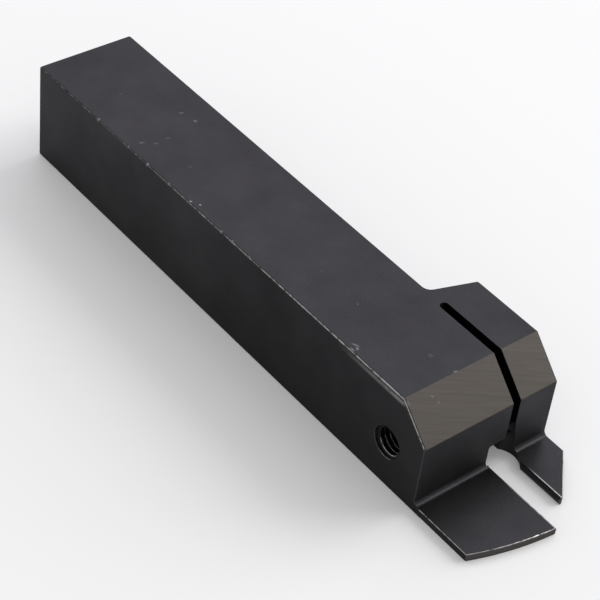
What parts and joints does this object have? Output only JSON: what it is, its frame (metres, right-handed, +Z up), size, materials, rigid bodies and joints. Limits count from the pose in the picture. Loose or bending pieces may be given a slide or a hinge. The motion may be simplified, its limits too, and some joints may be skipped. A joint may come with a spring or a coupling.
{
  "type": "turning tool holder",
  "caption": "Square-shank external parting and grooving tool holder with a thin blade, an empty clamping pocket, a slit jaw and its socket head clamp screw.",
  "frame": {"origin": "centre of the bounding box on the side that the holder lies on", "axes": "+X along the shank towards the cutting end, +Y towards the clamping jaw and the clamp screw's head, +Z up from the side it lies on"},
  "size_m": [0.125, 0.0288, 0.02],
  "materials": {
    "blued_steel": "black oxide on machined steel, satin gloss, worn bright along the edges",
    "screw_steel": "black oxide on a heat-treated screw, satin"
  },
  "bodies": {
    "holder": {"holder_body": "blued_steel"},
    "screw": {"clamp_screw": "screw_steel"}
  },
  "joints": [
    {"name": "clamp_screw_turn", "type": "hinge", "parent": "holder", "child": "screw", "pos_m": [0.03825, 0.0083, 0.0088], "axis": [0, 1, 0], "range_deg": [0, 360]}
  ]
}
